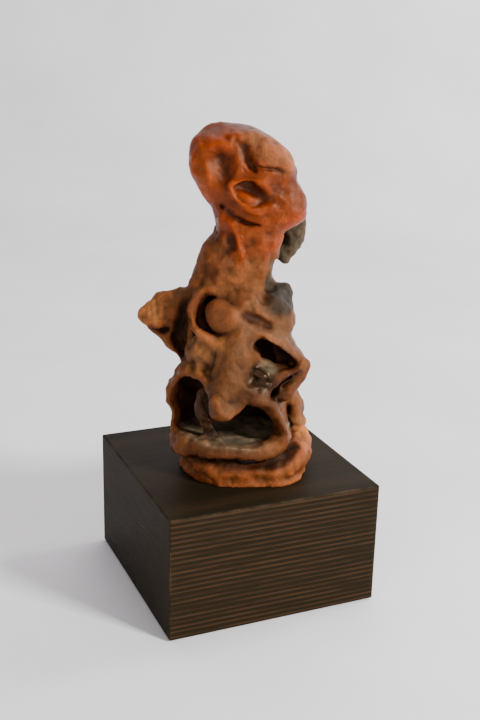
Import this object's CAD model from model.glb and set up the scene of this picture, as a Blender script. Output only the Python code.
import math

import bpy
import numpy as np
import openvdb
from mathutils import Matrix, Vector


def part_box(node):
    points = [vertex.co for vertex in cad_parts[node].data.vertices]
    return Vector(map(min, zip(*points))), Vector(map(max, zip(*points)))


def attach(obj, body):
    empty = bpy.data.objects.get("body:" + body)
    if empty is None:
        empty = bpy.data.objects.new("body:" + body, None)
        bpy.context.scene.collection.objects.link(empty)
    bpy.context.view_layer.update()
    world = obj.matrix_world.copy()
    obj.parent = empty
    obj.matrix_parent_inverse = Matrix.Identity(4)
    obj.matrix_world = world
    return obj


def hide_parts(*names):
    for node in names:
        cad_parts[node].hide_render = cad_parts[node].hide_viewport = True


# The clay is modelled as one field of distances, like one lump of clay, and each piece's mesh is drawn from
# the part of the field that belongs to it. Tables are in millimetres in the clay's own frame: x to the right
# and y to the back of the sculpture, z up from the top of the block.

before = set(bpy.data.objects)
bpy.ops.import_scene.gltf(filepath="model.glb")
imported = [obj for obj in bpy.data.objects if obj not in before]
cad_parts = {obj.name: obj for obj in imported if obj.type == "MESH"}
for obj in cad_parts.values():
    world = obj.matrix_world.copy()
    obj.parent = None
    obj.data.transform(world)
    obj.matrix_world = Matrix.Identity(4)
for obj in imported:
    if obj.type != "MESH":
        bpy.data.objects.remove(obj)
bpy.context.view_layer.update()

MM = 0.001
UP, RIGHT, BACK = (0, 0, 1), (1, 0, 0), (0, 1, 0)
block_low, block_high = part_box("plinth_block")
rod_low, rod_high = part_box("threaded_rod")
CLAY_HEIGHT = 0.236  # the clay's height in the tables below
FACING = -23.6  # the sculpture and the camera are turned to one front corner of the block, in degrees
clay_turn = math.radians(FACING)
clay_origin = Vector(((rod_low.x + rod_high.x) / 2, (rod_low.y + rod_high.y) / 2, block_high.z))
clay_scale = (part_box("head")[1].z - block_high.z) / CLAY_HEIGHT
clay_matrix = Matrix.Translation(clay_origin) @ Matrix.Rotation(clay_turn, 4, "Z")

STEP = 0.75  # the grid's spacing
LOW, HIGH = np.array([-80.0, -56.0, -4.0]), np.array([58.0, 46.0, 246.0])
counts = np.ceil((HIGH - LOW) / STEP).astype(int) + 1
FAR = 12.0  # distances are only worked out this far from a shape
CRUMB = 60  # a part of a mesh with no more points than this is dropped


# ---------------------------------------------------------------- noise and the grid

def spline_weights(samples, spacing):
    """The weights that turn a row of random values `spacing` samples apart into a smooth row of samples."""
    place = np.arange(samples) / spacing
    cell = np.floor(place).astype(int)
    t = place - cell
    weights = np.zeros((samples, int(cell[-1]) + 4))
    rows = np.arange(samples)
    for k, weight in enumerate((
        (1 - t) ** 3, 3 * t ** 3 - 6 * t ** 2 + 4, -3 * t ** 3 + 3 * t ** 2 + 3 * t + 1, t ** 3,
    )):
        weights[rows, cell + k] = weight / 6
    return weights


def noise(seed, size):
    """Smooth noise over the whole grid, of unit spread and with lumps about `size` mm across."""
    each = [spline_weights(n, size / STEP) for n in counts]
    values = np.random.default_rng(seed).standard_normal([w.shape[1] for w in each]).astype(np.float32)
    for axis, w in enumerate(each):
        values = np.moveaxis(np.tensordot(w.astype(np.float32), values, (1, axis)), 0, axis)
    return np.ascontiguousarray(values / values.std())


grid = [(LOW[i] + STEP * np.arange(counts[i])).astype(np.float32) for i in range(3)]
still = np.meshgrid(*grid, indexing="ij")
warped = [still[i] + 1.1 * noise(10 + i, 17) + 0.45 * noise(20 + i, 8) for i in range(3)]


def window(low, high):
    """The slices of the grid between two corners."""
    first = np.clip(np.floor((np.array(low) - LOW) / STEP).astype(int), 0, counts - 1)
    last = np.clip(np.ceil((np.array(high) - LOW) / STEP).astype(int) + 1, 1, counts)
    return tuple(slice(a, b) for a, b in zip(first, last))


# ---------------------------------------------------------------- shapes of clay

def bulge(parts, halves):
    """About how far a point is from an ellipse or ellipsoid, from its offsets and the half-sizes there."""
    near = sum((p / h) ** 2 for p, h in zip(parts, halves))
    steep = sum((p / h ** 2) ** 2 for p, h in zip(parts, halves))
    near = np.sqrt(near)
    return near * (near - 1) / np.sqrt(steep + 1e-9)


def along(offset, way):
    return offset[0] * way[0] + offset[1] * way[1] + offset[2] * way[2]


class Lump:
    """An ellipsoid, with its half-sizes along x, y and z before it is tilted about `axis`."""

    def __init__(self, centre, half, tilt=0.0, axis=BACK):
        self.centre, self.half = np.array(centre, float), half
        self.ways = np.array(Matrix.Rotation(math.radians(tilt), 3, Vector(axis))).T
        reach = max(half) + FAR
        self.low, self.high = self.centre - reach, self.centre + reach

    def distance(self, at):
        offset = [at[i] - self.centre[i] for i in range(3)]
        return bulge([along(offset, way) for way in self.ways], self.half)


class Limb:
    """A roll or strip through stations (x, y, z, wide, thin), `wide` being its half-width along `broad`."""

    def __init__(self, broad, stations, ring=False):
        points = np.array(stations, float)
        self.broad = np.array(broad, float)
        self.line = smooth_line(points, ring)
        reach = self.line[:, 3:].max(axis=1, keepdims=True) + FAR
        self.low = (self.line[:, :3] - reach).min(axis=0)
        self.high = (self.line[:, :3] + reach).max(axis=0)

    def distance(self, at):
        result = np.full(at[0].shape, FAR, np.float32)
        corner = [float(at[i].min()) for i in range(3)]
        for a, b in zip(self.line[:-1], self.line[1:]):
            reach = max(a[3], a[4], b[3], b[4]) + FAR
            spot = tuple(
                slice(max(0, int((min(a[i], b[i]) - reach - corner[i]) / STEP) - 3),
                      max(0, int((max(a[i], b[i]) + reach - corner[i]) / STEP) + 4))
                for i in range(3)
            )
            near = [at[i][spot] for i in range(3)]
            if not near[0].size:
                continue
            step = b[:3] - a[:3]
            length = np.linalg.norm(step)
            way = step / length
            side = self.broad - way * self.broad.dot(way)
            side /= np.linalg.norm(side)
            offset = [near[i] - a[i] for i in range(3)]
            far_along = along(offset, way)
            t = np.clip(far_along / length, 0, 1)
            wide, thin = a[3] + t * (b[3] - a[3]), a[4] + t * (b[4] - a[4])
            parts = along(offset, side), along(offset, np.cross(way, side)), far_along - t * length
            result[spot] = np.minimum(result[spot], bulge(parts, (wide, thin, thin)))
        return result


def smooth_line(points, ring, spacing=3.0):
    """A smooth line through all the points, with a point about every `spacing` mm."""
    if ring:
        points = np.vstack([points[-1:], points, points[:2]])
    else:
        points = np.vstack([2 * points[0] - points[1], points, 2 * points[-1] - points[-2]])
    line = []
    for p0, p1, p2, p3 in zip(points[:-3], points[1:-2], points[2:-1], points[3:]):
        steps = max(2, int(np.linalg.norm(p2[:3] - p1[:3]) / spacing))
        for t in np.arange(steps) / steps:
            line.append(0.5 * (
                2 * p1 + (p2 - p0) * t + (2 * p0 - 5 * p1 + 4 * p2 - p3) * t ** 2
                + (3 * p1 - p0 - 3 * p2 + p3) * t ** 3
            ))
    line = np.array(line + [points[-2]])
    line[:, 3:] = np.maximum(line[:, 3:], 0.3)
    return line


class Stack:
    """Level ellipses (x, y, z, half x, half y), one above another, hollow if a wall is given."""

    def __init__(self, stations, wall=None):
        line = smooth_line(np.array(stations, float), False)
        self.line, self.wall = line[np.argsort(line[:, 2])], wall
        self.low = np.append((line[:, :2] - line[:, 3:]).min(axis=0), line[:, 2].min()) - FAR
        self.high = np.append((line[:, :2] + line[:, 3:]).max(axis=0), line[:, 2].max()) + FAR

    def distance(self, at):
        x, y, half_x, half_y = (np.interp(at[2], self.line[:, 2], self.line[:, k]) for k in (0, 1, 3, 4))
        result = bulge((at[0] - x, at[1] - y), (half_x, half_y))
        if self.wall:
            result = np.maximum(result, -result - self.wall)
        return np.maximum(result, np.maximum(self.line[0, 2] - at[2], at[2] - self.line[-1, 2]))


def join(a, b, soft):
    """The union of two distances, with a fillet."""
    h = np.maximum(soft - np.abs(a - b), 0) / soft
    return np.minimum(a, b) - h * h * soft / 4


def carve(a, b, soft):
    """`a` with `b` taken out of it, its edge rounded."""
    return -join(-a, b, soft)


# ---------------------------------------------------------------- the pieces of clay

class Clay:
    """What a piece is made of: its colour, the wash in its hollows, its roughness and its coarseness."""

    def __init__(self, slot, colour, wash, rough, coarse):
        self.slot, self.values = slot, (*colour, wash, rough, coarse)


BROWN = Clay("clay", (0.1, 0.034, 0.0085), 1.0, 0.55, 0.95)
BRIGHT = Clay("bright_clay", (0.15, 0.043, 0.0095), 1.0, 0.55, 1.0)
WAXED = Clay("waxed_clay", (0.077, 0.0265, 0.007), 1.0, 0.42, 0.85)
MATTE = Clay("matte_clay", (0.118, 0.038, 0.0095), 1.0, 0.62, 1.2)
SMOOTH = Clay("waxed_clay", (0.112, 0.036, 0.0105), 0.9, 0.6, 0.4)
SOOTY = Clay("clay", (0.026, 0.0115, 0.0045), 0.8, 0.4, 1.3)
DARK = Clay("dark_clay", (0.014, 0.0075, 0.004), 0.5, 0.14, 0.25)
GLAZED = Clay("glazed_clay", (0.125, 0.097, 0.06), 0.7, 0.5, 0.8)
GREY = Clay("grey_clay", (0.046, 0.037, 0.024), 0.8, 0.6, 1.1)
SMOKED = Clay("grey_clay", (0.0105, 0.009, 0.0065), 0.8, 0.55, 1.1)
PALE = Clay("pale_clay", (0.34, 0.17, 0.09), 0.6, 0.5, 0.6)
SLIP = Clay("orange_slip", (0.148, 0.0225, 0.0008), 0.85, 0.22, 0.75)
BARE = Clay("orange_slip", (0.165, 0.054, 0.018), 0.7, 0.45, 1.0)

body_outline = [
    (-5, -3, 18, 42, 34), (-8.5, -4, 30, 40.5, 36), (-7.5, -4, 41, 39.5, 35), (-8.5, -4, 56, 41, 34.5),
    (-7, -3, 67, 40.5, 34), (-4, -3, 77, 38, 33), (-3, -2, 92, 35, 31.5), (-3, 0, 108, 35, 29.5),
    (-6, 0, 121, 33, 26), (-9, 0, 133, 27, 22), (-8, 0, 150, 25.5, 20), (-4.5, 0, 158, 24.5, 18.5),
    (-0.5, 0, 165, 22.5, 17.5), (3, -1, 173, 23, 17.5), (5, -2, 184, 25, 17.5),
]
body_shell, body_core = Stack(body_outline, wall=6.5), Stack(body_outline)
SPLIT_Y, SPLIT_Z, SPLIT_NECK, SPLIT_X = 4.0, 72.0, 126.0, -12.0
walls = {
    "left_wall": (BROWN, (-80, -60, 0), (SPLIT_X, SPLIT_Y, SPLIT_Z)),
    "right_wall": (BROWN, (SPLIT_X, -60, 0), (80, SPLIT_Y, SPLIT_Z)),
    "chest_wall": (BROWN, (-80, -60, SPLIT_Z), (80, SPLIT_Y, SPLIT_NECK)),
    "back_wall": (BROWN, (-80, SPLIT_Y, 0), (80, 60, SPLIT_NECK)),
    "neck_wall": (MATTE, (-80, -60, SPLIT_NECK), (80, 60, 250)),
}
shell_openings = [
    (Lump((-33.5, -28, 51), (16.5, 26, 26)), 2),
    (Lump((1, -32, 38), (28, 27, 20)), 3),
    (Lump((18, -30, 93), (12, 15, 8), 28), 2),
    (Lump((34, -14, 138), (20, 22, 34)), 3),
    (Lump((41, 10, 140), (21, 16, 22)), 3),
]

# node: (clay, fillet with its neighbours, shapes)
pieces = {
    "foot_slab": (BRIGHT, 2, [
        Stack([(1, -3, -3, 42.5, 38.5), (1, -3, 1.5, 42.5, 38.5), (1, -3.5, 5, 40, 36.5)]),
        Lump((21, -23, 1), (19.5, 16, 5)), Lump((-17, -23, 1), (17, 14.5, 5)),
    ]),
    "base_roll": (BRIGHT, 4, [Limb(UP, [
        (-33.5, 2, 10, 8, 6.5), (-30.5, -14, 10, 7.5, 6.5), (-23, -27, 9, 7, 6.5), (-8, -33.5, 8, 6, 6.5),
        (12, -33.5, 9, 7, 7), (28, -28, 11.5, 8.5, 8), (38.5, -14, 13.5, 10.5, 8), (41, 2, 14.5, 11, 8),
        (35, 19, 13, 10, 8), (18, 30, 13, 9.5, 7.5), (-5, 33, 12.5, 9.5, 7.5), (-24, 25, 12, 9, 7),
    ], ring=True)]),
    "lower_lip": (BROWN, 4, [Limb(UP, [
        (-45, -1, 23, 7.5, 4.5), (-43, -14, 22, 7, 5.5), (-34, -28, 23, 6, 6), (-18, -37, 23, 4.6, 6.5),
        (2, -38, 23.8, 4.6, 6.5), (17, -34.5, 26.8, 4.8, 6), (25.5, -29, 30, 5.5, 5), (30.5, -19, 29, 6, 5),
    ])]),
    "cave_floor": (GLAZED, 2.5, [Stack([(-5, -6, 22, 38, 35), (-5, -6, 29.5, 38.5, 37)])]),
    "left_cave_rim": (BROWN, 3, [Limb(BACK, [
        (-44, -15, 24, 6, 4), (-46.5, -12, 32, 5, 2.6), (-44.8, -12, 41, 5, 2.2), (-48, -10, 51, 5, 2.2),
        (-47.8, -11, 61, 5, 2.3), (-44.5, -14, 69, 5, 2.6), (-39, -21, 75.5, 5, 3.4),
        (-30, -28, 76, 5.5, 4.2), (-20, -32, 72, 6, 5),
    ])]),
    "nose_ridge": (WAXED, 7, [Limb(RIGHT, [
        (-4, -25, 113, 11, 7), (-4, -30, 101, 12, 8), (-4.5, -34, 88, 12.5, 9), (-7, -37, 76, 12, 9.5),
        (-11, -38, 66, 10.5, 9), (-13, -39, 59.5, 9, 8.5),
    ]), Lump((-12.5, -39.5, 59.5), (10.5, 9.5, 10.5)), Lump((-20, -25, 90), (17, 9, 15))]),
    "nose_nodule": (WAXED, 2.5, [Lump((-17, -47, 64), (4.6, 4.2, 4.8))]),
    "cave_column": (SOOTY, 4, [Limb(RIGHT, [
        (-23, -32, 60, 5, 5), (-26.5, -30, 52, 4.4, 4), (-25, -28, 44, 3.6, 3.5), (-22.5, -27, 35, 3.2, 3.2),
        (-20, -27, 28, 6, 4),
    ])]),
    "cheek_pad": (WAXED, 8, [Lump((13, -34, 66), (12, 6, 7), 8)]),
    "right_buttress": (WAXED, 8, [Limb(BACK, [
        (2, -35, 62.5, 6, 4.5), (12, -36, 62.5, 6.5, 4.8), (20, -35, 58.5, 6.5, 4.8), (25.8, -33, 51, 6, 4.2),
        (28.8, -31, 42, 6, 3.4), (29.5, -29, 34, 6, 2.8), (28.5, -28, 28, 5, 3),
    ])]),
    "socket_rim": (MATTE, 5, [
        Limb(BACK, [
            (-20, -18, 132, 4, 3), (-28, -19, 126, 5, 3), (-31.5, -21, 116, 6, 3), (-29, -25, 106.5, 6, 3),
            (-21, -30, 100.5, 5.5, 3), (-10, -32, 99.5, 5, 3.5),
        ]),
        Limb(BACK, [
            (-32, -17, 108, 5, 4), (-32.5, -20, 97, 6, 4.5), (-33, -22, 86, 6, 5), (-36, -22, 78, 5, 5),
        ]),
    ]),
    "left_lobe": (MATTE, 6, [Limb(UP, [
        (-30, -2, 112, 17, 12), (-42, -3, 111.5, 14.5, 12), (-53, -4, 111.5, 12, 10.5),
        (-61, -5, 111.5, 8.5, 8), (-66, -5.5, 111, 6, 5.5),
    ])]),
    "lobe_flap": (MATTE, 6, [Limb(BACK, [
        (-54.5, -7, 103.5, 6, 5.5), (-50, -8, 96.5, 7, 5.5), (-44.5, -9, 90.5, 7.5, 6),
        (-38, -11, 87, 8, 6.5),
    ])]),
    "fold_upper": (WAXED, 5, [Limb((-0.3, 0.85, 0.45), [
        (6, -24, 110, 8, 3.2), (14, -24, 106, 9, 3), (22, -22.5, 101, 10, 3), (31, -22.5, 95, 9, 3),
        (37, -24.5, 90.5, 6, 2.8), (41, -27, 87.5, 3, 2.4),
    ]), Lump((28.5, -14, 89), (8.5, 6.5, 10.5))]),
    "fold_lower": (WAXED, 4, [
        Limb((-0.6, 0.3, 0.75), [
            (41, -27, 86, 3, 2.6), (34, -30, 83, 4, 3.4), (27, -31.5, 79.5, 4, 3.6),
            (22, -32.5, 74.5, 4, 3.8), (18, -33, 67, 5, 4.5),
        ]),
        Limb(BACK, [
            (41, -27, 85, 3, 2.8), (37.5, -27, 79.5, 5, 3.8), (32, -27, 72.5, 7, 5), (28, -29, 64, 7, 5.5),
        ]),
        Lump((28, -24, 76), (10, 8, 10)), Lump((32, -26.5, 78), (6, 5, 6)), Lump((35, -19, 85), (6, 7, 8)),
    ]),
    "fold_floor": (GLAZED, 3, [Lump((15, -25, 79.5), (10, 10, 6.5))]),
    "bowl_floor": (SMOKED, 2, [Lump((18, -4, 118.5), (13, 17.5, 9.5))]),
    "grey_lump": (SMOKED, 5, [Lump((26, 4, 120.5), (7, 9, 9.5))]),
    "shoulder_ledge": (WAXED, 7, [Limb(UP, [
        (-2, -21, 126, 5, 4.5), (8, -23, 120, 4.5, 4.5), (17, -21.5, 112.5, 4, 4.5), (25, -15, 108.5, 4, 4.5),
        (30.5, -4, 107.5, 4.5, 4.5), (29.5, 7, 108, 5, 4.5),
    ])]),
    "head": (SLIP, 8, [Stack([
        (-19, -6, 238, 3, 2), (-18, -6, 236, 8, 5), (-14.5, -7, 233, 16, 9), (-10.5, -8, 229, 23.5, 12.5),
        (-7, -8, 222, 29, 15.5), (-3.5, -8, 214, 32.5, 17), (0, -8, 206, 34.5, 17.5),
        (3, -8, 198, 34.5, 17.5), (6, -8, 191, 33.5, 17), (8, -8, 185, 32, 16.5), (9, -8, 179, 29.5, 15.5),
        (7, -8, 174, 26, 14), (3, -7, 168, 21, 12),
    ]), Lump((4, -11, 168), (18, 8.5, 15))]),
    "brow_pad": (BARE, 5, [Lump((10, -17, 221), (19, 8, 9.5), 25)]),
    "rear_lump_upper": (PALE, 3, [Lump((29.5, 10, 104.5), (6.5, 6, 5.5))]),
    "rear_lump_middle": (PALE, 3, [Lump((28, 10, 93.5), (6, 6, 8))]),
    "rear_lump_lower": (PALE, 3, [Lump((33, 9, 66), (7, 6, 7))]),
    "rear_strut_tall": (BROWN, 3, [Limb(BACK, [
        (33, 12, 60, 4.5, 4), (37, 11, 50, 3.5, 3.2), (41.5, 12, 40, 3.2, 3), (43, 13, 27, 4, 4),
    ])]),
    "rear_strut_short": (BROWN, 3, [Limb(BACK, [
        (33, 5, 58, 5, 5), (35, 5, 47, 5, 5.5), (37.5, 6, 36, 5, 5), (40, 8, 25, 4.5, 4.5),
    ])]),
    "rear_foot_block": (BRIGHT, 2, [Lump((41, 4, 25), (6, 8, 5))]),
    "back_ridge": (BROWN, 7, [Limb(RIGHT, [
        (-4, 27, 44, 10, 5), (-7, 29, 64, 9, 5.5), (-8, 29, 86, 9, 5.5), (-6, 27, 110, 8, 5.5),
        (-8, 21, 132, 7, 5), (-6, 17, 152, 6, 4.5), (-2, 14, 172, 6, 4.5), (0, 10, 186, 5, 4),
    ])]),
}

# hollows pressed in before the late pieces are laid in them: (shape, how round their edges are, how sooty)
first_hollows = [
    (Lump((-18.5, -27, 117), (11, 13, 13)), 2.5, 0.5),
    (Lump((-16.5, -27, 210), (7.5, 8, 14.5), -5), 4, 0.3),
    (Lump((3, -27.5, 195), (15, 8.5, 8), 22), 3, 0.3),
    (Lump((23, -1, 166), (15, 8, 22), -20), 3, 0.3),
]
late_pieces = {
    "ball": (SMOOTH, 1.2, [Lump((-10.5, -23, 115), (13, 12.5, 13))]),
    "pebble_upper": (DARK, 1, [Lump((11.8, -35.5, 78.4), (5.8, 4, 3.2), 5)]),
    "pebble_lower": (DARK, 1, [Lump((13.8, -37, 73), (4.8, 3.4, 2.8), 5)]),
    "eye_pellet": (SLIP, 3, [
        Lump((-2.5, -20.5, 192.5), (8, 5, 4.6), 18),
        Limb(BACK, [(-11, -23.5, 199, 2, 2), (-9, -24, 192, 2, 2), (-2, -24.5, 186.5, 2, 2),
                    (7, -24, 184.5, 2, 2.2), (15, -22, 188, 2, 1.8)]),
        Limb(BACK, [(-11, -23.5, 199, 2, 2), (-4, -24, 203, 2, 1.8), (5, -23.5, 204, 2, 1.6),
                    (13, -22, 199, 2, 1.6)]),
    ]),
    "throat_lip": (SLIP, 3.5, [Limb(BACK, [
        (-16, -15, 177, 3, 2.5), (-10, -17.5, 171.5, 3.5, 2.6), (-5, -18, 165, 3.5, 2.6),
        (-2, -18, 157, 3, 2.5),
    ])]),
    "jaw_flap": (GREY, 4, [Limb(RIGHT, [
        (26, 6, 179, 14, 5), (27.5, 7, 168, 13, 4.5), (26.5, 8, 161, 11.5, 4), (24, 8, 155, 8, 4),
        (24.5, 8, 150, 5.5, 3.2), (25.5, 8, 147, 3.5, 2.6),
    ]), Limb(BACK, [
        (20, 3, 171, 8, 3), (16, 3, 160, 8, 3), (14.5, 3, 147, 8, 3), (14.5, 2, 134, 8, 3),
        (17, 1, 123, 8, 3),
    ])]),
}
ROD_WAY = 4.4  # the radius of the hole for the rod
late_hollows = [
    (Limb(BACK, [(-23.5, -41, 63, 3, 0.5), (-23.5, -40, 57, 5, 1.2), (-21, -41, 50.5, 6, 1.5),
                 (-15, -42, 47, 5, 1)]), 2, 0.75),
    (Limb(BACK, [(-12, -24, 229, 2.6, 0.5), (-5, -25, 222, 2.8, 1), (-1, -26, 215.5, 3.2, 1.2),
                 (7, -26, 213.5, 3, 0.8), (14, -25, 213.5, 2.6, 0.7), (20, -23, 211.5, 2.2, 0.5)]), 3, 0.3),
    (Limb(BACK, [(-1, -26, 215, 4, 0.8), (2, -26, 210.5, 2.6, 0.5)]), 2, 0.3),
    (Limb(BACK, [(-14, -21, 182, 2.8, 0.9), (-9, -22, 178, 3.2, 1.2), (-2, -23, 175.5, 3.2, 1),
                 (8, -22, 174.5, 2.6, 0.6)]), 2.6, 0.45),
    (Lump((-17.5, -19, 184.5), (1.6, 4, 1.6)), 1.5, 0.5),
    (Lump((-12, -21, 164), (4.5, 4, 7), -15), 3, 0.15),
    (Limb(BACK, [(-38, -17, 122, 6, 2), (-40.5, -18, 113, 9, 3.5), (-42, -18, 103, 10, 4.5),
                 (-43, -18, 94, 8.5, 4.5), (-42, -16, 88, 5, 3)]), 3, 0.75),
    (Limb(BACK, [(-62, -13, 104, 4, 0.4), (-56, -14, 102, 5, 1), (-50, -15, 103, 5, 0.8)]), 0.9, 0.6),
    (Limb(BACK, [(2, -31, 117.5, 3, 1.5), (7, -31, 115, 3.6, 2.5), (13, -30, 112, 3.6, 2.2),
                 (19, -28, 108, 3, 1.2)]), 6, 0.6),
    (Limb(BACK, [(36, -32, 84, 4, 0.6), (30, -33, 79.5, 4, 1), (24, -34.5, 73, 4.5, 1.2),
                 (22, -35, 65, 3, 0.6)]), 2.5, 0.7),
    (Lump((20, -29, 92.5), (14, 12, 4.6), 20), 1.5, 0.85),
    (Limb(UP, [(-43, -20, 14, 1, 3), (-34, -33, 15, 2, 5), (-20, -41, 15.5, 2.4, 6), (-4, -44, 15, 3, 6.5),
               (12, -42, 16.5, 3, 6), (23, -37, 18.5, 3, 5), (31, -30, 20.5, 3.5, 4.5),
               (37, -23, 22, 2.2, 3)]), 2.5, 0.75),
    (Stack([(0, 0, -3, ROD_WAY, ROD_WAY), (0, 0, 16, ROD_WAY, ROD_WAY)]), 0.1, 0.0),
]
# where the clay was fired or waxed darker, or paler if the number is negative
patches = [
    (Lump((-64, -8, 113), (9, 9, 7)), -0.75), (Lump((-22, -30, 92), (10, 10, 14)), -0.7),
    (Lump((-6, -20, 160), (8, 10, 9)), -0.1), (Lump((-16, -16, 152), (8, 8, 14)), 0.4),
    (Lump((36, -14, 24), (12, 10, 5)), -0.3), (Lump((14, -40, 63), (16, 8, 7)), 0.4),
    (Lump((30, -30, 45), (7, 8, 16)), 0.3), (Lump((-6, -42, 21), (36, 8, 6)), 0.5),
    (Lump((34, -32, 76), (8, 7, 8)), 0.3), (Lump((16, -22, 101), (12, 8, 5)), -0.35),
    (Lump((-6, -42, 6), (30, 8, 3.5)), 0.25), (Lump((41, 4, 26), (7, 9, 6)), -0.9),
    (Lump((-28, -14, 208), (8, 12, 18)), -0.45), (Lump((32, -8, 200), (6, 12, 16)), 0.3),
    (Lump((-10, -8, 236), (16, 12, 5)), 0.3),
]


# ---------------------------------------------------------------- one field of clay

def shape_field(shapes):
    """The grid slices that a piece needs, and its distances there."""
    spot = window(np.min([s.low for s in shapes], axis=0), np.max([s.high for s in shapes], axis=0))
    at = [w[spot] for w in warped]
    result = shapes[0].distance(at)
    for shape in shapes[1:]:
        result = np.minimum(result, shape.distance(at))
    return spot, np.minimum(result, FAR).astype(np.float32)


shell_spot, shell = shape_field([body_shell])
shell_full = np.full(counts, FAR, np.float32)
shell_full[shell_spot] = shell
for shape, soft in shell_openings:
    spot, hollow = shape_field([shape])
    shell_full[spot] = carve(shell_full[spot], hollow, soft)

fields = {}
for name, (clay, low, high) in walls.items():
    spot = window(np.maximum(low, LOW) - 4, np.minimum(high, HIGH) + 4)
    outside = [np.maximum(low[i] - still[i][spot], still[i][spot] - high[i]) for i in range(3)]
    fields[name] = clay, spot, np.maximum(shell_full[spot], np.maximum.reduce(outside))
for name, (clay, soft, shapes) in (pieces | late_pieces).items():
    fields[name] = clay, *shape_field(shapes)

form = shell_full
soot = np.zeros(counts, np.float32)
# the hollow body is sooty from this deep inside its surface, between these levels
SOOT_DEPTH, SOOT_FLOOR, SOOT_TOP = 3.5, 31, 172
spot, depth = shape_field([body_core])
level = still[2][spot]
inner = np.clip((-depth - SOOT_DEPTH) / 4, 0, 1) * np.clip((level - SOOT_FLOOR) / 3, 0, 1)
inner *= np.clip((SOOT_TOP - level) / 6, 0, 1)
soot[spot] = inner * np.interp(level, (115, 128), (0.93, 0.55))
for some_pieces, some_hollows in ((pieces, first_hollows), (late_pieces, late_hollows)):
    for name, (_, soft, _) in some_pieces.items():
        _, spot, field = fields[name]
        form[spot] = join(form[spot], field, soft)
        if name in late_pieces:
            soot[spot] *= np.clip(field / 1.5, 0, 1)
    for shape, soft, stain in some_hollows:
        spot, hollow = shape_field([shape])
        form[spot] = carve(form[spot], hollow, soft)
        soot[spot] = np.maximum(soot[spot], stain * np.clip(1.2 - np.maximum(hollow, 0) / 2.5, 0, 1))
for shape, stain in patches:
    spot, near = shape_field([shape])
    soot[spot] += stain * (1 - soot[spot]) * np.clip(1.1 - np.maximum(near, 0) / 5, 0, 1)

# how far each point is from the nearest piece and from the one after it
nearest = np.full(counts, FAR, np.float32)
second = np.full(counts, FAR, np.float32)
for _, spot, field in fields.values():
    second[spot] = np.minimum(second[spot], np.maximum(nearest[spot], field))
    nearest[spot] = np.minimum(nearest[spot], field)

# each clay's values, blended over the joints, where a late piece lies over its neighbours
LATE_LEAD, BLEND = 2.5, 1.2
total = np.full(counts, 1e-6, np.float32)
values = np.zeros((len(BROWN.values), *counts), np.float32)
for name, (clay, spot, field) in fields.items():
    lead = LATE_LEAD if name in late_pieces else 0
    share = np.exp((nearest[spot] + lead - field) / BLEND)
    total[spot] += share
    for k, value in enumerate(clay.values):
        values[k][spot] += share * value
values /= total
# soot takes more of the green and the blue than of the red
for k, power in enumerate((1.0, 1.25, 1.5)):
    values[k] *= (1 - soot) ** power

coarse = values[5]
form += coarse * (0.6 * noise(31, 6.5) + 0.32 * noise(32, 3.0) + 0.1 * noise(33, 1.8))
form = np.maximum(form, -still[2])


def blurred(field, size):
    """The field averaged over about `size` mm."""
    reach = max(1, round(size / STEP / 2))
    for _ in range(2):
        for axis in range(3):
            padded = np.pad(field, [(reach + 1, reach) if k == axis else (0, 0) for k in range(3)], "edge")
            sums = np.cumsum(padded, axis=axis, dtype=np.float32)
            n = field.shape[axis]
            ahead = np.take(sums, np.arange(2 * reach + 1, 2 * reach + 1 + n), axis=axis)
            behind = np.take(sums, np.arange(n), axis=axis)
            field = (ahead - behind) / (2 * reach + 1)
    return field


clipped = np.clip(form, -6, 6)
fine_bend = blurred(clipped, 3) - clipped
broad_bend = blurred(clipped, 10) - clipped


# ---------------------------------------------------------------- meshes

def sample(field, points):
    """The field's values at points of the grid, in grid steps."""
    base = np.clip(np.floor(points).astype(int), 0, counts - 2)
    t = points - base
    result = np.zeros(len(points), np.float32)
    for corner in np.ndindex(2, 2, 2):
        weight = np.prod([t[:, i] if corner[i] else 1 - t[:, i] for i in range(3)], axis=0)
        result += weight * field[base[:, 0] + corner[0], base[:, 1] + corner[1], base[:, 2] + corner[2]]
    return result


def large_parts(count, faces):
    """Which points belong to a part of the mesh that isn't a crumb."""
    label = np.arange(count)
    pairs = np.stack([faces, np.roll(faces, 1, axis=1)], axis=-1).reshape(-1, 2)
    while True:
        low = np.minimum(label[pairs[:, 0]], label[pairs[:, 1]])
        before = label.copy()
        np.minimum.at(label, pairs[:, 0], low)
        np.minimum.at(label, pairs[:, 1], low)
        label = label[label]
        if (label == before).all():
            break
    sizes = np.bincount(label, minlength=count)
    return sizes[label] > CRUMB


def clay_mesh(name, field, start):
    """A piece's mesh from its field, with the clay's colours and bends stored on its points."""
    field = np.pad(field, 1, constant_values=1.0).astype(np.float32)
    tree = openvdb.FloatGrid(background=1.0)
    tree.copyFromArray(field)
    points, triangles, quads = tree.convertToPolygons(isovalue=0.0, adaptivity=0.0)
    faces = [tuple(int(k) for k in f) for f in quads] + [tuple(int(k) for k in f) for f in triangles]
    all_faces = np.vstack([quads, triangles[:, [0, 1, 2, 2]]]) if len(triangles) else quads
    keep = large_parts(len(points), all_faces)
    faces = [f for f in faces if keep[f[0]]]
    points = points - 1 + np.array(start)
    mesh = bpy.data.meshes.new(name)
    local = (LOW + points * STEP) * MM * clay_scale
    mesh.from_pydata(local.tolist(), [], faces)
    mesh.validate()
    bends = fine_bend, broad_bend, values[4], values[5]
    for title, layers in (("tint", values[:4]), ("bend", bends)):
        data = np.stack([sample(layer, points) for layer in layers], axis=-1)
        mesh.attributes.new(title, "FLOAT_COLOR", "POINT").data.foreach_set("color", data.ravel())
    mesh.transform(clay_matrix)
    mesh.polygons.foreach_set("use_smooth", [True] * len(mesh.polygons))
    return mesh


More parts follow.
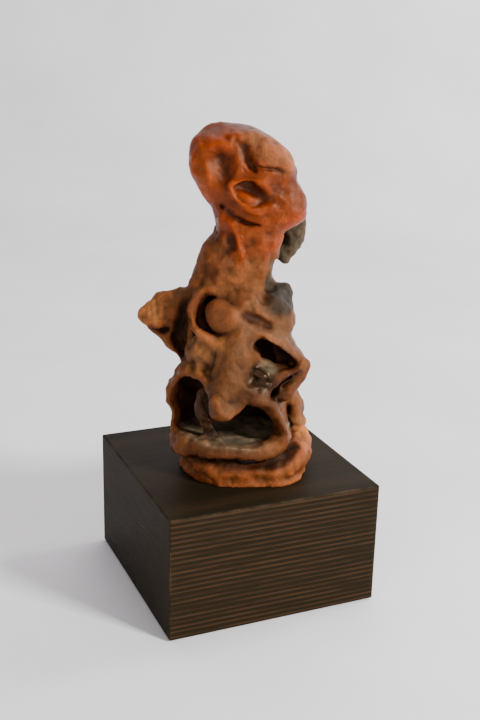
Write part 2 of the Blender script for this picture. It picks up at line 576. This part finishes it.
def solid(node, mesh):
    thing = bpy.data.objects.new(f"{node}_made", mesh)
    bpy.context.scene.collection.objects.link(thing)
    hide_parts(node)
    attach(thing, "root")
    return thing


RETREAT = 0.12  # how fast a piece sinks below the surface where another piece is nearer
clay_things = {}
for name, (clay, spot, field) in fields.items():
    rival = np.where(field <= nearest[spot], second[spot], nearest[spot])
    stray = np.maximum(field - rival, 0)
    piece = form[spot] + RETREAT * stray ** 2
    clay_things[name] = solid(name, clay_mesh(name, piece, [s.start for s in spot]))


# ---------------------------------------------------------------- finishes

class Nodes:
    """A node material, built up a node at a time. Inputs go by name, or as i0, i1 and so on by place."""

    def __init__(self, name):
        self.material = bpy.data.materials.new(name)
        self.material.use_nodes = True
        self.tree = self.material.node_tree
        self.shader = self.tree.nodes["Principled BSDF"]

    def node(self, kind, settings=None, **inputs):
        made = self.tree.nodes.new(kind)
        for key, value in (settings or {}).items():
            setattr(made, key, value)
        for key, value in inputs.items():
            numbered = key[0] == "i" and key[1:].isdigit()
            self.feed(made.inputs[int(key[1:]) if numbered else key], value)
        return made

    def feed(self, socket, value):
        if isinstance(value, bpy.types.NodeSocket):
            self.tree.links.new(value, socket)
        else:
            socket.default_value = value

    def math(self, operation, a, b=0.0, clamp=False):
        made = self.node("ShaderNodeMath", {"operation": operation, "use_clamp": clamp}, i0=a, i1=b)
        return made.outputs[0]

    def ramp(self, value, low, high, to_low=0.0, to_high=1.0):
        """`value` from low..high to to_low..to_high, with soft ends."""
        made = self.node("ShaderNodeMapRange", {"interpolation_type": "SMOOTHSTEP"},
                         i0=value, i1=low, i2=high, i3=to_low, i4=to_high)
        return made.outputs[0]

    def mix(self, factor, a, b, blend="MIX"):
        made = self.node("ShaderNodeMix", {"data_type": "RGBA", "blend_type": blend}, i0=factor, i6=a, i7=b)
        return made.outputs[2]

    def noise(self, scale, detail=4.0, rough=0.6, stretch=None):
        where = self.node("ShaderNodeTexCoord").outputs["Object"]
        if stretch:
            where = self.node("ShaderNodeMapping", i0=where, i3=stretch).outputs[0]
        made = self.node("ShaderNodeTexNoise", None, Vector=where, Scale=scale, Detail=detail, Roughness=rough)
        return made.outputs[0]

    def bump(self, height, strength, distance, normal=None):
        made = self.node("ShaderNodeBump", None, Height=height, Strength=strength, Distance=distance)
        if normal:
            self.feed(made.inputs["Normal"], normal)
        return made.outputs[0]


def clay_material():
    """Fired clay: its own colour, a dark wash left in the hollows and rubbed off the ridges."""
    n = Nodes("fired_clay")
    tint = n.node("ShaderNodeAttribute", {"attribute_name": "tint"})
    bend = n.node("ShaderNodeAttribute", {"attribute_name": "bend"})
    parts = n.node("ShaderNodeSeparateColor", None, i0=bend.outputs["Color"])
    fine, broad, rough, coarse = parts.outputs[0], parts.outputs[1], parts.outputs[2], bend.outputs["Alpha"]
    wash = tint.outputs["Alpha"]
    cloud = n.noise(90.0, 5.0, 0.62)
    speck = n.noise(520.0, 6.0, 0.75)
    streak = n.noise(160.0, 4.0, 0.6, (1.0, 1.0, 0.25))
    worn = n.math("ADD", n.math("MULTIPLY", fine, 1.1), n.math("MULTIPLY", broad, 0.35))
    worn = n.math("ADD", worn, n.math("MULTIPLY", n.math("SUBTRACT", cloud, 0.5), 0.9))
    hollow = n.math("MULTIPLY", n.ramp(worn, 0.15, -0.75), wash)
    ridge = n.ramp(worn, 0.15, 0.9)
    streaks = n.ramp(streak, 0.35, 0.7, 0.0, 0.5)
    colour = n.mix(streaks, tint.outputs["Color"], (0.62, 0.5, 0.45, 1), "MULTIPLY")
    colour = n.mix(n.math("MULTIPLY", ridge, 0.75), colour, (1.75, 1.5, 1.35, 1), "MULTIPLY")
    colour = n.mix(hollow, colour, (0.24, 0.17, 0.13, 1), "MULTIPLY")
    colour = n.mix(n.ramp(speck, 0.5, 0.66, 0.0, 0.55), colour, (0.35, 0.3, 0.28, 1), "MULTIPLY")
    n.feed(n.shader.inputs["Base Color"], colour)
    gloss = n.math("ADD", rough, n.math("MULTIPLY", n.math("SUBTRACT", cloud, 0.5), 0.35))
    n.feed(n.shader.inputs["Roughness"], n.math("ADD", gloss, n.math("MULTIPLY", hollow, 0.1), clamp=True))
    height = n.math("MULTIPLY", n.math("ADD", n.noise(1100.0, 4.0, 0.6), streak), coarse)
    coarse_grain = n.math("MULTIPLY", n.noise(330.0, 5.0, 0.7), coarse)
    pitted = n.bump(coarse_grain, 0.5, 0.0016)
    n.feed(n.shader.inputs["Normal"], n.bump(height, 0.55, 0.0008, pitted))
    n.shader.inputs["Specular IOR Level"].default_value = 0.28
    n.shader.inputs["Specular Tint"].default_value = (1.0, 0.66, 0.42, 1)
    return n.material


def wood_material():
    """Dark stained softwood: growth lines along X, plainest on the front, and edges rubbed pale."""
    n = Nodes("stained_wood")
    where = n.node("ShaderNodeTexCoord").outputs["Object"]
    axis = n.node("ShaderNodeSeparateXYZ", i0=where)
    wander = n.noise(9.0, 3.0, 0.5, (0.25, 1.0, 1.0))
    depth = n.math("ADD", axis.outputs[2], n.math("MULTIPLY", n.math("POWER", axis.outputs[1], 2.0), 0.9))
    depth = n.math("ADD", depth, n.math("MULTIPLY", wander, 0.006))
    ring_gap = 0.0036
    rings = n.math("SINE", n.math("MULTIPLY", depth, 2 * math.pi / ring_gap))
    pores = n.noise(900.0, 3.0, 0.6, (0.03, 1.0, 1.0))
    line = n.math("MULTIPLY", n.ramp(rings, -0.3, 1.0), n.ramp(pores, 0.3, 0.65))
    facing = n.node("ShaderNodeSeparateXYZ", i0=n.node("ShaderNodeNewGeometry").outputs["Normal"])
    upright = n.ramp(n.math("ABSOLUTE", facing.outputs[1]), 0.2, 0.8, 0.3, 0.95)
    colour = n.mix(n.math("MULTIPLY", line, upright), (0.0125, 0.0088, 0.0042, 1), (0.046, 0.0225, 0.0105, 1))
    colour = n.mix(n.ramp(n.noise(14.0, 4.0, 0.6, (0.4, 1.0, 1.0)), 0.4, 0.7, 0.0, 0.5), colour,
                   (0.7, 0.78, 0.72, 1), "MULTIPLY")
    edge = n.node("ShaderNodeAttribute", {"attribute_name": "edge"}).outputs["Fac"]
    rubbed = n.math("MULTIPLY", edge, n.ramp(n.noise(55.0, 5.0, 0.7), 0.42, 0.62))
    colour = n.mix(n.math("MULTIPLY", rubbed, 0.4), colour, (0.12, 0.07, 0.035, 1))
    n.feed(n.shader.inputs["Base Color"], colour)
    n.feed(n.shader.inputs["Roughness"], n.math("ADD", 0.42, n.math("MULTIPLY", pores, 0.25)))
    height = n.math("ADD", n.math("MULTIPLY", rings, 0.5), n.math("MULTIPLY", pores, 1.5))
    n.feed(n.shader.inputs["Normal"], n.bump(height, 0.3, 0.0003))
    n.shader.inputs["Specular IOR Level"].default_value = 0.05
    n.shader.inputs["Specular Tint"].default_value = (1.0, 0.85, 0.65, 1)
    return n.material


def plain_material(name, colour, metal, rough, grain):
    """A finish for the hidden fittings, with a little grain."""
    n = Nodes(name)
    cloud = n.noise(grain, 4.0, 0.6)
    n.feed(n.shader.inputs["Base Color"], n.mix(cloud, (*[c * 0.75 for c in colour], 1), (*colour, 1)))
    n.feed(n.shader.inputs["Roughness"], n.math("ADD", rough, n.math("MULTIPLY", cloud, 0.2)))
    n.feed(n.shader.inputs["Normal"], n.bump(cloud, 0.3, 0.0004))
    n.shader.inputs["Metallic"].default_value = metal
    return n.material


def wooden_block():
    """The block with its eased edges, subdivided so that wear can follow them. Lengths are in metres."""
    size = block_high - block_low
    middle = (block_high + block_low) / 2
    ease, step, wear_width = 0.0009, 0.004, 0.0006
    mesh = bpy.data.meshes.new("plinth_block_made")
    axes = []
    for i in range(3):
        half = size[i] / 2
        inner = np.linspace(-half + 2 * ease, half - 2 * ease, max(2, round(size[i] / step)))
        axes.append(np.concatenate([[-half, -half + ease], inner, [half - ease, half]]))
    points, faces, index = [], [], {}

    def corner(i, j, k):
        if (i, j, k) not in index:
            index[i, j, k] = len(points)
            points.append((axes[0][i], axes[1][j], axes[2][k]))
        return index[i, j, k]

    last = [len(a) - 1 for a in axes]
    for a in range(3):
        b, c = (a + 1) % 3, (a + 2) % 3
        for end in (0, last[a]):
            for u in range(last[b]):
                for v in range(last[c]):
                    ring = []
                    for du, dv in ((0, 0), (1, 0), (1, 1), (0, 1)):
                        place = [0, 0, 0]
                        place[a], place[b], place[c] = end, u + du, v + dv
                        ring.append(corner(*place))
                    faces.append(ring if end else ring[::-1])
    points = np.array(points)
    halves = np.array(size) / 2
    inside = np.clip(points, -halves + ease, halves - ease)
    out = points - inside
    length = np.linalg.norm(out, axis=1, keepdims=True)
    rounded = inside + out / np.maximum(length, 1e-9) * ease
    near = np.sort(halves - np.abs(points), axis=1)[:, 1]
    wear = np.exp(-near / wear_width)
    mesh.from_pydata((rounded + np.array(middle)).tolist(), [], faces)
    mesh.attributes.new("edge", "FLOAT", "POINT").data.foreach_set("value", wear.astype(np.float32))
    mesh.polygons.foreach_set("use_smooth", [True] * len(mesh.polygons))
    return solid("plinth_block", mesh)


fired_clay = clay_material()
for thing in clay_things.values():
    thing.data.materials.append(fired_clay)
wooden_block().data.materials.append(wood_material())

steel = plain_material("zinc_steel", (0.6, 0.6, 0.62), 1.0, 0.3, 300.0)
for node, material, slot in (
    ("threaded_rod", steel, "steel"), ("rod_nut", steel, "steel"), ("rod_washer", steel, "steel"),
    ("anchor_plug", plain_material("set_plaster", (0.75, 0.73, 0.68), 0.0, 0.7, 150.0), "plaster"),
    ("base_felt", plain_material("black_felt", (0.03, 0.03, 0.032), 0.0, 0.8, 900.0), "felt"),
):
    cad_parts[node].data.materials.clear()
    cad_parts[node].data.materials.append(material)


# ---------------------------------------------------------------- the room, the lamps and the camera

def room():
    """A pale sheet that curves up behind the object."""
    mesh = bpy.data.meshes.new("backdrop")
    across, profile = np.linspace(-3.0, 3.0, 2), []
    profile.append((-2.5, 0.0))
    for a in np.radians(np.linspace(0, 90, 16)):
        profile.append((1.2 + 0.6 * math.sin(a), 0.6 - 0.6 * math.cos(a)))
    profile.append((1.8, 3.5))
    points = [(x, y, z) for y, z in profile for x in across]
    faces = [(2 * i, 2 * i + 1, 2 * i + 3, 2 * i + 2) for i in range(len(profile) - 1)]
    mesh.from_pydata(points, [], faces)
    mesh.transform(Matrix.Rotation(clay_turn, 4, "Z"))
    mesh.polygons.foreach_set("use_smooth", [True] * len(faces))
    backdrop = bpy.data.objects.new("backdrop", mesh)
    bpy.context.scene.collection.objects.link(backdrop)
    mesh.materials.append(plain_material("paper", (0.9, 0.87, 0.9), 0.0, 0.8, 4.0))


def lamp(name, spot, size, power, target=(0, 0, 0.16)):
    light = bpy.data.lights.new(name, "AREA")
    light.size, light.energy = size, power
    thing = bpy.data.objects.new(name, light)
    bpy.context.scene.collection.objects.link(thing)
    thing.location = spot
    thing.rotation_euler = (Vector(target) - Vector(spot)).to_track_quat("-Z", "Y").to_euler()


def camera():
    """The camera, placed from the block's size by its azimuth, elevation and roll."""
    width = block_high.x - block_low.x
    azimuth, elevation, roll = (math.radians(v) for v in (FACING, 18.47, 1.41))
    back = Vector((math.sin(azimuth) * math.cos(elevation), -math.cos(azimuth) * math.cos(elevation),
                   math.sin(elevation)))
    level = Vector((math.cos(azimuth), math.sin(azimuth), 0))
    upright = back.cross(level)
    right = level * math.cos(roll) + upright * math.sin(roll)
    up = upright * math.cos(roll) - level * math.sin(roll)
    data = bpy.data.cameras.new("camera")
    data.lens, data.sensor_width = 53.3, 36.0
    thing = bpy.data.objects.new("camera", data)
    bpy.context.scene.collection.objects.link(thing)
    from_block_top = (0.027 * right + 0.466 * up + 5.037 * back) * width  # in widths of the block
    place = Vector((0, 0, block_high.z)) + from_block_top
    thing.matrix_world = Matrix.Translation(place) @ Matrix((right, up, back)).transposed().to_4x4()
    bpy.context.scene.camera = thing


room()
lamp("key", (0.9, -1.45, 0.95), 0.35, 72)
lamp("fill", (-1.5, -1.3, 0.9), 1.2, 12)
lamp("top", (0.3, 0.6, 2.2), 1.4, 22)
lamp("backdrop", (2.0, 0.2, 1.6), 0.8, 45, (1.2, 1.6, 0.7))
world = bpy.data.worlds.new("room")
world.use_nodes = True
world.node_tree.nodes["Background"].inputs[0].default_value = (1.0, 0.97, 0.98, 1)
world.node_tree.nodes["Background"].inputs[1].default_value = 0.34
bpy.context.scene.world = world
camera()
